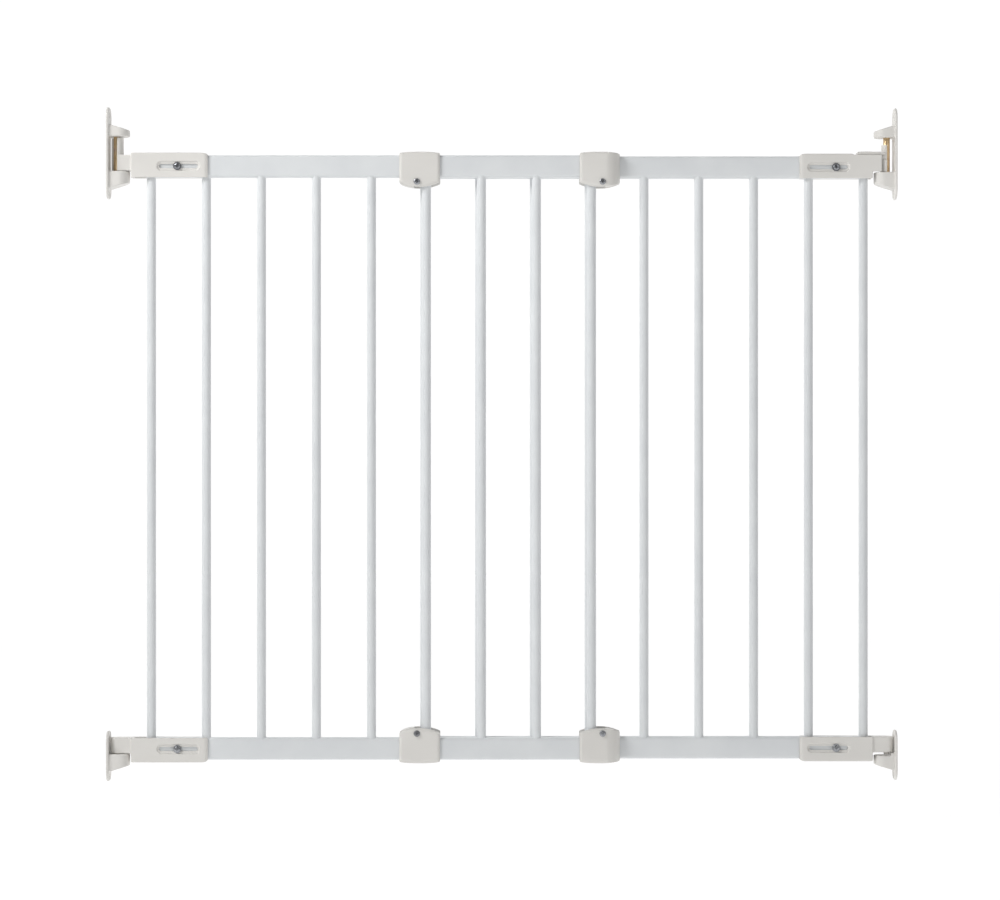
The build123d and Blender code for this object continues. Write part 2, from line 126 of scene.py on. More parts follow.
class Wire:
    """A node socket that takes part in Python expressions, each adding its Math node."""

    def __init__(self, shop: "Shop", socket: bpy.types.NodeSocket) -> None:
        """Wraps an output socket of the shop's tree."""
        self.shop = shop
        self.socket = socket

    def _math(self, operation: str, first: Any, second: Any) -> "Wire":
        """Adds one Math node and returns its value."""
        node = self.shop.node("ShaderNodeMath", {"operation": operation}, {0: first, 1: second})
        return Wire(self.shop, node.outputs[0])

    def __add__(self, other: Any) -> "Wire":
        """self + other."""
        return self._math("ADD", self, other)

    def __radd__(self, other: Any) -> "Wire":
        """other + self."""
        return self._math("ADD", other, self)

    def __sub__(self, other: Any) -> "Wire":
        """self - other."""
        return self._math("SUBTRACT", self, other)

    def __rsub__(self, other: Any) -> "Wire":
        """other - self."""
        return self._math("SUBTRACT", other, self)

    def __mul__(self, other: Any) -> "Wire":
        """self * other."""
        return self._math("MULTIPLY", self, other)

    def __rmul__(self, other: Any) -> "Wire":
        """other * self."""
        return self._math("MULTIPLY", other, self)


class Shop:
    """Makes the nodes of one material."""

    def __init__(self, name: str) -> None:
        """Starts a material with an empty node tree.

        Args:
            name: The material's name.
        """
        self.material = bpy.data.materials.new(name)
        self.material.use_nodes = True
        self.tree = self.material.node_tree
        self.tree.nodes.clear()
        coordinates = self.node("ShaderNodeTexCoord", {}, {})
        self.place = coordinates.outputs["Object"]

    def node(self, kind: str, settings: dict[str, Any], values: dict[Any, Any]) -> bpy.types.Node:
        """Adds a node, sets it up and feeds its sockets.

        Args:
            kind: The node's type.
            settings: Attributes to set first; "stops" gives a ramp's positions and colours.
            values: A number, colour, Wire or output socket for each input, by name or index.

        Returns:
            The node.
        """
        made = self.tree.nodes.new(kind)
        for name, value in settings.items():
            if name == "stops":
                ramp = made.color_ramp
                while len(ramp.elements) < len(value):
                    ramp.elements.new(0.5)
                for element, (position, colour) in zip(ramp.elements, value):
                    element.position = position
                    element.color = (*colour, 1.0)
            else:
                setattr(made, name, value)
        for name, value in values.items():
            source = value.socket if isinstance(value, Wire) else value
            if isinstance(source, bpy.types.NodeSocket):
                self.tree.links.new(source, made.inputs[name])
            else:
                made.inputs[name].default_value = source
        return made

    def noise(self, scale: float, detail: float = 2.0, rough: float = 0.5,
              stretch: Sequence[float] = (1.0, 1.0, 1.0)) -> Wire:
        """Noise from 0 to 1 on the piece's own coordinates.

        Args:
            scale: Features per metre.
            detail: Octaves.
            rough: Share of the finer octaves.
            stretch: Scale along each axis.

        Returns:
            The noise value.
        """
        turned = self.node("ShaderNodeMapping", {}, {"Vector": self.place, "Scale": tuple(stretch)})
        made = self.node("ShaderNodeTexNoise", {}, {
            "Vector": turned.outputs[0], "Scale": scale, "Detail": detail, "Roughness": rough})
        return Wire(self, made.outputs[0])

    def cells(self, scale: float) -> Wire:
        """Distance to the nearest of many scattered points, from 0 up."""
        made = self.node("ShaderNodeTexVoronoi", {}, {"Vector": self.place, "Scale": scale})
        return Wire(self, made.outputs["Distance"])

    def ramp(self, value: Wire, stops: Sequence[tuple[float, Sequence[float]]]) -> bpy.types.NodeSocket:
        """Colour of a value along these stops."""
        return self.node("ShaderNodeValToRGB", {"stops": stops}, {"Fac": value}).outputs[0]

    def step(self, value: Wire, low: float, high: float) -> Wire:
        """Smooth mask: 0 below low, 1 above high."""
        made = self.node("ShaderNodeMapRange", {"interpolation_type": "SMOOTHSTEP"}, {
            "Value": value, "From Min": low, "From Max": high})
        return Wire(self, made.outputs[0])

    def mix(self, factor: Wire, first: Any, second: Any) -> bpy.types.NodeSocket:
        """Mix of two colours."""
        made = self.node("ShaderNodeMix", {"data_type": "RGBA"}, {0: factor, 6: first, 7: second})
        return made.outputs[2]

    def bump(self, height: Wire, depth: float, strength: float) -> bpy.types.NodeSocket:
        """Normal of a height that is depth metres from lowest to highest."""
        made = self.node("ShaderNodeBump", {}, {"Height": height, "Distance": depth, "Strength": strength})
        return made.outputs[0]

    def close(self, constants: dict[str, Any], varying: dict[str, Any]) -> bpy.types.Material:
        """Ends the tree in one shader.

        Args:
            constants: Values that are the same all over, by socket name.
            varying: Wires or sockets, by socket name.

        Returns:
            The finished material.
        """
        shader = self.node("ShaderNodeBsdfPrincipled", {}, {**constants, **varying})
        self.node("ShaderNodeOutputMaterial", {}, {"Surface": shader.outputs[0]})
        return self.material


# ------------------------------------------------------------------ finishes


@dataclass(frozen=True)
class PowderCoat:
    """Baked white paint on steel: an even skin with a fine orange peel."""

    name: str = "powder_coat"
    light: tuple[float, float, float] = (0.745, 0.765, 0.775)
    dark: tuple[float, float, float] = (0.70, 0.72, 0.735)
    roughness: float = 0.36
    peel_scale: float = 950.0
    peel_depth: float = 0.00006
    cloud_scale: float = 26.0
    dust_scale: float = 2600.0
    dust_share: float = 0.35
    dust_colour: tuple[float, float, float, float] = (0.66, 0.66, 0.65, 1.0)

    def make(self) -> bpy.types.Material:
        """Builds the material.

        Returns:
            The paint.
        """
        shop = Shop(self.name)
        peel = shop.noise(self.peel_scale, 2.0, 0.45)
        cloud = shop.noise(self.cloud_scale, 3.0)
        dust = shop.step(shop.noise(self.dust_scale, 1.0), 0.66, 0.74)
        paint = shop.ramp(cloud, [(0.3, self.dark), (0.7, self.light)])
        colour = shop.mix(dust * self.dust_share, paint, self.dust_colour)
        rough = self.roughness + (cloud - 0.5) * 0.16 + dust * 0.12
        normal = shop.bump(peel + cloud * 0.4, self.peel_depth, 0.35)
        return shop.close({"IOR": 1.5},
                          {"Base Color": colour, "Roughness": rough, "Normal": normal})


@dataclass(frozen=True)
class MouldedPlastic:
    """Warm white moulded plastic with a fine spark-eroded grain."""

    name: str = "moulded_plastic"
    light: tuple[float, float, float] = (0.755, 0.738, 0.705)
    dark: tuple[float, float, float] = (0.70, 0.683, 0.65)
    roughness: float = 0.44
    grain_scale: float = 2400.0
    grain_depth: float = 0.00004
    flow_scale: float = 18.0
    speck_scale: float = 700.0
    speck_share: float = 0.3
    speck_colour: tuple[float, float, float, float] = (0.60, 0.58, 0.54, 1.0)

    def make(self) -> bpy.types.Material:
        """Builds the material.

        Returns:
            The plastic.
        """
        shop = Shop(self.name)
        grain = shop.noise(self.grain_scale, 3.0, 0.6)
        flow = shop.noise(self.flow_scale, 3.0, 0.5, (0.5, 1.0, 1.0))
        specks = shop.step(0.5 - shop.cells(self.speck_scale), 0.42, 0.47)
        resin = shop.ramp(flow, [(0.3, self.dark), (0.72, self.light)])
        colour = shop.mix(specks * self.speck_share, resin, self.speck_colour)
        rough = self.roughness + (grain - 0.5) * 0.18 + (flow - 0.5) * 0.12
        normal = shop.bump(grain + flow * 0.5, self.grain_depth, 0.4)
        return shop.close({"IOR": 1.48},
                          {"Base Color": colour, "Roughness": rough, "Normal": normal})


@dataclass(frozen=True)
class PlatedSteel:
    """Plated steel: lengthways or circular tool marks under a thin plating."""

    name: str
    light: tuple[float, float, float]
    dark: tuple[float, float, float]
    stain: tuple[float, float, float]
    roughness: float
    stretch: tuple[float, float, float] = (1.0, 1.0, 1.0)
    mark_scale: float = 1500.0
    mark_depth: float = 0.00003
    cloud_scale: float = 160.0
    stain_scale: float = 90.0

    def make(self) -> bpy.types.Material:
        """Builds the material.

        Returns:
            The plating.
        """
        shop = Shop(self.name)
        marks = shop.noise(self.mark_scale, 3.0, 0.6, self.stretch)
        cloud = shop.noise(self.cloud_scale, 4.0, 0.6)
        stained = shop.step(shop.noise(self.stain_scale, 4.0), 0.5, 0.66)
        plated = shop.ramp(cloud * 0.7 + marks * 0.3, [(0.3, self.dark), (0.68, self.light)])
        colour = shop.mix(stained * 0.7, plated, (*self.stain, 1.0))
        rough = self.roughness + (marks - 0.5) * 0.22 + stained * 0.12
        normal = shop.bump(marks + cloud * 0.5, self.mark_depth, 0.5)
        return shop.close({"Metallic": 1.0}, {"Base Color": colour, "Roughness": rough, "Normal": normal})


PASSIVATED = PlatedSteel("yellow_passivated", (0.80, 0.62, 0.38), (0.62, 0.44, 0.25), (0.70, 0.52, 0.42),
                         0.38, (1.0, 1.0, 6.0))
ZINC = PlatedSteel("bright_zinc", (0.44, 0.45, 0.47), (0.24, 0.25, 0.27), (0.20, 0.20, 0.21), 0.27)


@dataclass(frozen=True)
class StudioSheet:
    """Pale seamless sheet of the floor and of the backdrop."""

    name: str
    glow: float
    shade: float
    mottle_scale: float = 3.0

    def make(self) -> bpy.types.Material:
        """Builds the material.

        Returns:
            The sheet's surface.
        """
        shop = Shop(self.name)
        mottle = shop.noise(self.mottle_scale, 3.0)
        colour = shop.ramp(mottle, [(0.3, (self.shade,) * 3), (0.7, (self.shade * 1.02,) * 3)])
        return shop.close({"Roughness": 0.9, "Specular IOR Level": 0.1,
                           "Emission Color": (1.0, 1.0, 1.0, 1.0), "Emission Strength": self.glow},
                          {"Base Color": colour})


@dataclass
class Finishes:
    """The materials of the gate, each made once."""

    made: dict[Slot, bpy.types.Material] = field(default_factory=dict)

    def __post_init__(self) -> None:
        """Builds every finish."""
        self.made = {
            Slot.STEEL_PAINT: PowderCoat().make(),
            Slot.PLASTIC: MouldedPlastic().make(),
            Slot.PASSIVATED: PASSIVATED.make(),
            Slot.ZINC: ZINC.make(),
        }

    def of(self, slot: Slot) -> bpy.types.Material:
        """The material of a slot."""
        return self.made[slot]


# ------------------------------------------------------------------ geometry trees


class Plan:
    """A Geometry Nodes tree under construction."""

    def __init__(self, name: str, inputs: dict[str, float], finish: bpy.types.Material) -> None:
        """Starts a tree with named number inputs.

        Args:
            name: The tree's name.
            inputs: Each input's name and value.
            finish: The material that closes the tree.
        """
        self.tree = bpy.data.node_groups.new(name, "GeometryNodeTree")
        self.inputs = inputs
        self.finish = finish
        self.tree.interface.new_socket("Geometry", in_out="OUTPUT", socket_type="NodeSocketGeometry")
        self.identifiers: dict[str, str] = {}
        for label, value in inputs.items():
            kind = "NodeSocketInt" if isinstance(value, int) else "NodeSocketFloat"
            made = self.tree.interface.new_socket(label, in_out="INPUT", socket_type=kind)
            self.identifiers[label] = made.identifier
        self.entry = self.tree.nodes.new("NodeGroupInput")

    def size(self, label: str) -> bpy.types.NodeSocket:
        """The socket of a named input."""
        return self.entry.outputs[label]

    def node(self, kind: str, settings: dict[str, Any], values: dict[Any, Any]) -> bpy.types.Node:
        """Adds a node, sets it up and feeds its sockets.

        Args:
            kind: The node's type.
            settings: Attributes to set first.
            values: A value, an output socket or several sockets for each input, by name or index.

        Returns:
            The node.
        """
        made = self.tree.nodes.new(kind)
        for name, value in settings.items():
            setattr(made, name, value)
        for name, value in values.items():
            sources = value if isinstance(value, list) else [value]
            for source in sources:
                if isinstance(source, bpy.types.NodeSocket):
                    self.tree.links.new(source, made.inputs[name])
                else:
                    made.inputs[name].default_value = source
        return made

    def sum(self, operation: str, first: Any, second: Any) -> bpy.types.NodeSocket:
        """Value of one Math node."""
        return self.node("ShaderNodeMath", {"operation": operation}, {0: first, 1: second}).outputs[0]

    def point(self, x: Any = 0.0, y: Any = 0.0, z: Any = 0.0) -> bpy.types.NodeSocket:
        """A vector of three values."""
        return self.node("ShaderNodeCombineXYZ", {}, {0: x, 1: y, 2: z}).outputs[0]

    def moved(self, mesh: bpy.types.NodeSocket, offset: Any, turn: Sequence[float] = (0, 0, 0)
              ) -> bpy.types.NodeSocket:
        """A mesh moved and turned."""
        return self.node("GeometryNodeTransform", {}, {
            "Geometry": mesh, "Translation": offset, "Rotation": tuple(turn)}).outputs[0]

    def joined(self, *meshes: bpy.types.NodeSocket) -> bpy.types.NodeSocket:
        """Several meshes as one."""
        return self.node("GeometryNodeJoinGeometry", {}, {0: list(meshes)}).outputs[0]

    def row(self, piece: bpy.types.NodeSocket, count: Any, start: Any, step: Any) -> bpy.types.NodeSocket:
        """Copies of a piece along a straight row of points.

        Args:
            piece: The mesh to repeat.
            count: How many copies.
            start: The first copy's place.
            step: From each copy to the next.

        Returns:
            The row, as instances.
        """
        line = self.node("GeometryNodeMeshLine", {"mode": "OFFSET"}, {
            "Count": count, "Start Location": start, "Offset": step})
        return self.node("GeometryNodeInstanceOnPoints", {}, {
            "Points": line.outputs[0], "Instance": piece}).outputs[0]

    def mesh(self, name: str, result: bpy.types.NodeSocket) -> bpy.types.Object:
        """Ends the tree and evaluates it to one plain mesh.

        Args:
            name: The finished piece's name.
            result: What the tree has made.

        Returns:
            The piece, at the origin, with no modifier left.
        """
        real = self.node("GeometryNodeRealizeInstances", {}, {0: result}).outputs[0]
        painted = self.node("GeometryNodeSetMaterial", {}, {"Geometry": real, "Material": self.finish})
        end = self.tree.nodes.new("NodeGroupOutput")
        self.tree.links.new(painted.outputs[0], end.inputs[0])
        holder = bpy.data.objects.new(name, bpy.data.meshes.new(name))
        bpy.context.scene.collection.objects.link(holder)
        modifier = holder.modifiers.new("shape", "NODES")
        modifier.node_group = self.tree
        for label, value in self.inputs.items():
            modifier[self.identifiers[label]] = value
        evaluated = holder.evaluated_get(bpy.context.evaluated_depsgraph_get())
        made = bpy.data.meshes.new_from_object(evaluated)
        holder.modifiers.clear()
        holder.data = made
        made.name = name
        if not made.materials:
            made.materials.append(self.finish)
        smooth_by_angle(made)
        return holder


def smooth_by_angle(mesh: bpy.types.Mesh, degrees: float = 38.0) -> None:
    """Shades a mesh smooth except over edges sharper than this.

    Args:
        mesh: The mesh, changed in place.
        degrees: The sharpest turn that stays smooth.
    """
    mesh.polygons.foreach_set("use_smooth", [True] * len(mesh.polygons))
    work = bmesh.new()
    work.from_mesh(mesh)
    limit = math.radians(degrees)
    for edge in work.edges:
        edge.smooth = len(edge.link_faces) == 2 and edge.calc_face_angle(0.0) < limit
    work.to_mesh(mesh)
    work.free()


def keep(piece: bpy.types.Object, body: Body, nodes: Iterable[str] = ()) -> None:
    """Hands a finished piece to its body and logs it.

    Args:
        piece: The object, in place.
        body: The body that it rides on.
        nodes: CAD nodes that it stands for.
    """
    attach(piece, body.value)
    names = list(nodes)
    if names:
        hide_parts(*names)
    log.info("%-26s %-14s %7d faces", piece.name, body.value, len(piece.data.polygons))


# ------------------------------------------------------------------ moulded pieces


@dataclass
class Mouldings:
    """Plastic pieces: the CAD solids with every edge softened as a mould leaves it."""

    frame: dict[str, Any]
    finishes: Finishes
    voxel: float = 0.55 * MM
    smoothing: int = 8
    smooth_factor: float = 0.5
    merge_distance: float = 0.002 * MM
    face_band: float = 0.9 * MM
    rim_width: float = 3.6 * MM
    rim_depth: float = 1.3 * MM
    rim_curve: float = 1.6
    lug_rise: float = 5.4 * MM
    slant_band: float = 15.5 * MM
    slant_x: float = 15.5 * MM
    slant_y: float = 14.0 * MM
    slant_swell: float = 3.2 * MM
    slant_span: tuple[float, float] = (0.9, 1.1)
    slant_facing: tuple[float, float] = (0.67, 0.74)
    crown_drop: float = 1.6 * MM
    crown_curve: int = 3
    roll_length: float = 9.0 * MM
    roll_drop: float = 2.2 * MM
    roll_curve: int = 3
    cover_curve: int = 2
    cover_height: float = 16.2 * MM
    face_width: float = 5.0 * MM
    ride_on: dict[str, Body] = field(default_factory=lambda: {
        "hinge_top_bracket": Body.WALL,
        "hinge_bottom_bracket": Body.WALL,
        "latch_top_bracket": Body.WALL,
        "latch_bottom_bracket": Body.WALL,
        "left_top_collar": Body.BACK,
        "left_bottom_collar": Body.BACK,
        "right_top_collar": Body.FRONT,
        "right_bottom_collar": Body.FRONT,
        "hinge_top_end": Body.HINGE_ENDS,
        "hinge_bottom_end": Body.HINGE_ENDS,
        "latch_top_end": Body.LATCH_ENDS,
        "latch_bottom_end": Body.LATCH_ENDS,
        "latch_slider": Body.SLIDER,
    })

    def skin(self, node: str) -> bpy.types.Object:
        """Copies a CAD node, closes its triangles and covers it with an even skin.

        Args:
            node: The CAD node's name.

        Returns:
            The piece, at the origin, its mesh plain.
        """
        mesh = self.frame["nodes"][node].data.copy()
        work = bmesh.new()
        work.from_mesh(mesh)
        bmesh.ops.remove_doubles(work, verts=work.verts, dist=self.merge_distance)
        work.to_mesh(mesh)
        work.free()
        piece = bpy.data.objects.new(f"{node}_moulding", mesh)
        bpy.context.scene.collection.objects.link(piece)
        remesh = piece.modifiers.new("skin", "REMESH")
        remesh.mode = "VOXEL"
        remesh.voxel_size = self.voxel
        return self.applied(piece)

    def applied(self, piece: bpy.types.Object) -> bpy.types.Object:
        """Turns a piece's modifiers into its plain mesh.

        Args:
            piece: The piece, changed in place.

        Returns:
            The same piece.
        """
        done = bpy.data.meshes.new_from_object(
            piece.evaluated_get(bpy.context.evaluated_depsgraph_get()))
        piece.modifiers.clear()
        piece.data = done
        return piece

    def crown(self, piece: bpy.types.Object, node: str) -> None:
        """Rolls a collar's top over its ends, bevels the rim of its front and rounds its slant.

        Args:
            piece: The collar's skin, changed in place.
            node: The CAD collar's name.
        """
        low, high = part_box(node)
        middle = (low + high) / 2
        half = (high.x - low.x) / 2
        upward = 1.0 if "top" in node else -1.0
        crest = high.z if upward > 0 else low.z
        foot = low.z if upward > 0 else high.z
        slant = 1.0 if "right" in node else -1.0
        front_sign = -1.0 if "right" in node else 1.0
        outer = low.y if front_sign < 0 else high.y
        for vertex in piece.data.vertices:
            place = vertex.co
            across = (place.x - middle.x) / half
            height = (place.z - foot) / (crest - foot)
            side_in = half - abs(place.x - middle.x)
            crest_in = abs(crest - place.z)
            arc = abs(place.z - foot) - self.lug_rise * across * across
            rim = min(side_in, crest_in, max(arc, 0.0))
            if abs(place.y - outer) < self.face_band and rim < self.rim_width:
                place.y -= front_sign * self.rim_depth * (1.0 - rim / self.rim_width) ** self.rim_curve
            if abs(place.y - (low.y + high.y - outer)) < self.face_band and rim < self.rim_width:
                place.y += front_sign * self.rim_depth * (1.0 - rim / self.rim_width) ** self.rim_curve
            if height > 0.0 and side_in < self.slant_band and slant * across > 0.0:
                reach = (place.x - middle.x) * slant - (half - self.slant_x)
                depth = abs(place.y - outer)
                line = reach / self.slant_x + (self.slant_y - depth) / self.slant_y
                if self.slant_span[0] < line < self.slant_span[1] and 0.0 < reach < self.slant_x:
                    swell = self.slant_swell * math.sin(math.pi * reach / self.slant_x)
                    place.x += slant * swell * self.slant_facing[0]
                    place.y += front_sign * swell * self.slant_facing[1]
            place.z -= (upward * self.crown_drop * abs(across) ** self.crown_curve
                        * max(0.0, 2 * height - 1))

    def roll(self, piece: bpy.types.Object, node: str) -> None:
        """Draws in an end fitting's free end and rolls its cover over towards that end.

        Args:
            piece: The fitting's skin, changed in place.
            node: The CAD fitting's name.
        """
        low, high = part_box(node)
        inward = 1.0 if "hinge" in node else -1.0
        free = high.x if inward > 0 else low.x
        upward = 1.0 if "top" in node else -1.0
        panel = "front" if inward > 0 else "back"
        level = "top" if upward > 0 else "bottom"
        rail_low, rail_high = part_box(f"{panel}_{level}_rail")
        middle_z = (rail_low.z + rail_high.z) / 2
        for vertex in piece.data.vertices:
            place = vertex.co
            gone = abs(free - place.x)
            if gone > self.roll_length:
                continue
            fall = (1.0 - gone / self.roll_length) ** self.roll_curve
            above = max(0.0, upward * (place.z - middle_z)) / self.cover_height
            place.z -= upward * self.roll_drop * fall * min(above, 1.0) ** self.cover_curve
            near = max(0.0, 1.0 - gone / self.face_width)
            if place.y - low.y < self.face_band:
                place.y += self.rim_depth * near ** self.rim_curve

    def soften(self, node: str) -> bpy.types.Object:
        """Rounds a skinned CAD node's edges as a mould does.

        Args:
            node: The CAD node's name.

        Returns:
            The moulded piece, at the origin.
        """
        piece = self.skin(node)
        if "collar" in node:
            self.crown(piece, node)
        elif node.endswith("_end"):
            self.roll(piece, node)
        soft = piece.modifiers.new("soft", "SMOOTH")
        soft.factor = self.smooth_factor
        soft.iterations = self.smoothing
        self.applied(piece)
        done = piece.data
        done.materials.clear()
        done.materials.append(self.finishes.of(Slot.PLASTIC))
        done.polygons.foreach_set("use_smooth", [True] * len(done.polygons))
        return piece

    def build(self) -> None:
        """Builds every moulded piece."""
        for node, body in self.ride_on.items():
            keep(self.soften(node), body, [node])


# ------------------------------------------------------------------ panels


@dataclass
class Panel:
    """One barred panel: two rectangular tubes and nine round bars welded between them."""

    name: str
    body: Body
    finishes: Finishes
    bar_count: int = 9
    bar_pitch: float = 66.0 * MM
    bar_radius: float = 5.5 * MM
    bar_sink: float = 1.9 * MM
    rail_flat: float = 2.0 * MM
    rail_corner: float = 4.0 * MM
    rail_wall: float = 1.2 * MM
    rail_edge: float = 0.35 * MM
    bead_radius: float = 0.5 * MM
    end_trim: float = 0.4 * MM
    bead_steps: int = 44
    bead_sides: int = 8
    bead_ripple: float = 0.4 * MM
    ripple_scale: float = 900.0
    bar_sides: int = 40
    arc_steps: int = 7

    def bars(self) -> bpy.types.Object:
        """The nine bars, each with a weld bead that follows the rail's rounded underside.

        Returns:
            The bars and beads as one piece.
        """
        low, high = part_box(f"{self.name}_bar_1")
        x, y = (low.x + high.x) / 2, (low.y + high.y) / 2
        plan = Plan(f"{self.name}_bar_row", {
            "Count": self.bar_count, "Pitch": self.bar_pitch, "Radius": self.bar_radius,
            "Length": high.z - low.z, "Sink": self.bar_sink, "Flat": self.rail_flat,
            "Corner": self.rail_corner, "Bead": self.bead_radius,
            "First X": x, "Y": y, "Middle Z": (low.z + high.z) / 2}, self.finishes.of(Slot.STEEL_PAINT))
        tube = plan.node("GeometryNodeMeshCylinder", {}, {
            "Vertices": self.bar_sides, "Side Segments": 1, "Radius": plan.size("Radius"),
            "Depth": plan.sum("ADD", plan.size("Length"), plan.sum("MULTIPLY", plan.size("Sink"), 2.0))})
        upper = self.bead(plan)
        half = plan.sum("MULTIPLY", plan.size("Length"), 0.5)
        top = plan.moved(upper, plan.point(z=half))
        bottom = plan.moved(plan.moved(upper, (0, 0, 0), (math.pi, 0, 0)),
                            plan.point(z=plan.sum("MULTIPLY", half, -1.0)))
        bar = plan.joined(tube.outputs[0], top, bottom)
        row = plan.row(bar, plan.size("Count"),
                       plan.point(plan.size("First X"), plan.size("Y"), plan.size("Middle Z")),
                       plan.point(plan.size("Pitch")))
        return plan.mesh(f"{self.name}_bars", row)

    def bead(self, plan: Plan) -> bpy.types.NodeSocket:
        """A weld bead round a bar's upper end, lifted where the rail's corner curves away.

        Args:
            plan: The tree that the bead is built in.

        Returns:
            The bead's mesh, about the bar's end.
        """
        ring = plan.node("GeometryNodeCurvePrimitiveCircle", {}, {
            "Resolution": self.bead_steps, "Radius": plan.size("Radius")})
        place = plan.node("ShaderNodeSeparateXYZ", {}, {
            0: plan.node("GeometryNodeInputPosition", {}, {}).outputs[0]})
        outside = plan.sum("MAXIMUM", plan.sum(
            "SUBTRACT", plan.sum("ABSOLUTE", place.outputs[1], 0.0), plan.size("Flat")), 0.0)
        chord = plan.sum("SQRT", plan.sum("SUBTRACT", plan.sum("POWER", plan.size("Corner"), 2.0),
                                          plan.sum("POWER", outside, 2.0)), 0.0)
        lift = plan.sum("SUBTRACT", plan.size("Corner"), chord)
        ripple = plan.node("ShaderNodeTexNoise", {}, {"Scale": self.ripple_scale, "Detail": 1.0})
        uneven = plan.sum("MULTIPLY", plan.sum("SUBTRACT", ripple.outputs[0], 0.5),
                          self.bead_ripple)
        curve = plan.node("GeometryNodeSetPosition", {}, {
            "Geometry": ring.outputs[0], "Offset": plan.point(z=plan.sum("ADD", lift, uneven))})
        section = plan.node("GeometryNodeCurvePrimitiveCircle", {}, {
            "Resolution": self.bead_sides, "Radius": plan.size("Bead")})
        return plan.node("GeometryNodeCurveToMesh", {}, {
            "Curve": curve.outputs[0], "Profile Curve": section.outputs[0]}).outputs[0]

    def outline(self, inset: float, height: float, depth: float) -> list[tuple[float, float]]:
        """Rounded rectangle of the tube's section, in Y and Z.

        Args:
            inset: Distance inside the tube's outer face.
            height: The tube's size in Z.
            depth: The tube's size in Y.

        Returns:
            Points in order round the section.
        """
        radius = self.rail_corner - inset
        points = []
        for quarter in range(4):
            sign_y = 1 if quarter in (0, 3) else -1
            sign_z = 1 if quarter in (0, 1) else -1
            centre = (sign_y * (depth / 2 - self.rail_corner), sign_z * (height / 2 - self.rail_corner))
            for step in range(self.arc_steps + 1):
                angle = (quarter + step / self.arc_steps) * math.pi / 2
                points.append((centre[0] + radius * math.cos(angle), centre[1] + radius * math.sin(angle)))
        return points

    def rail(self, node: str) -> bpy.types.Object:
        """A rectangular tube with rounded corners and a real wall at its open ends.

        Args:
            node: The CAD rail that it stands for.

        Returns:
            The rail, at the origin.
        """
        low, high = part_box(node)
        middle = (low + high) / 2
        size = high - low
        work = bmesh.new()
        rings = []
        edge = self.rail_edge
        start, end = low.x + self.end_trim, high.x - self.end_trim
        stations = [(start, self.rail_wall), (start, edge), (start + edge, 0.0),
                    (end - edge, 0.0), (end, edge), (end, self.rail_wall)]
        for x, inset in stations:
            rings.append([work.verts.new((x, middle.y + y, middle.z + z))
                          for y, z in self.outline(inset, size.z, size.y)])
        count = len(rings[0])
        for first, second in zip(rings, rings[1:] + rings[:1]):
            for i in range(count):
                j = (i + 1) % count
                work.faces.new((first[i], first[j], second[j], second[i]))
        bmesh.ops.recalc_face_normals(work, faces=work.faces)
        mesh = bpy.data.meshes.new(f"{node}_tube")
        work.to_mesh(mesh)
        work.free()
        mesh.materials.append(self.finishes.of(Slot.STEEL_PAINT))
        smooth_by_angle(mesh)
        piece = bpy.data.objects.new(f"{node}_tube", mesh)
        bpy.context.scene.collection.objects.link(piece)
        return piece

    def build(self) -> None:
        """Builds the panel's rails and bars."""
        for level in ("top", "bottom"):
            node = f"{self.name}_{level}_rail"
            keep(self.rail(node), self.body, [node])
        keep(self.bars(), self.body,
             [f"{self.name}_bar_{i}" for i in range(1, self.bar_count + 1)])


# ------------------------------------------------------------------ fasteners and pins


class Fastener(Enum):
    """The kinds of small steel piece."""

    SCREW = "screws"
    WASHER = "washers"
    NUT = "nuts"


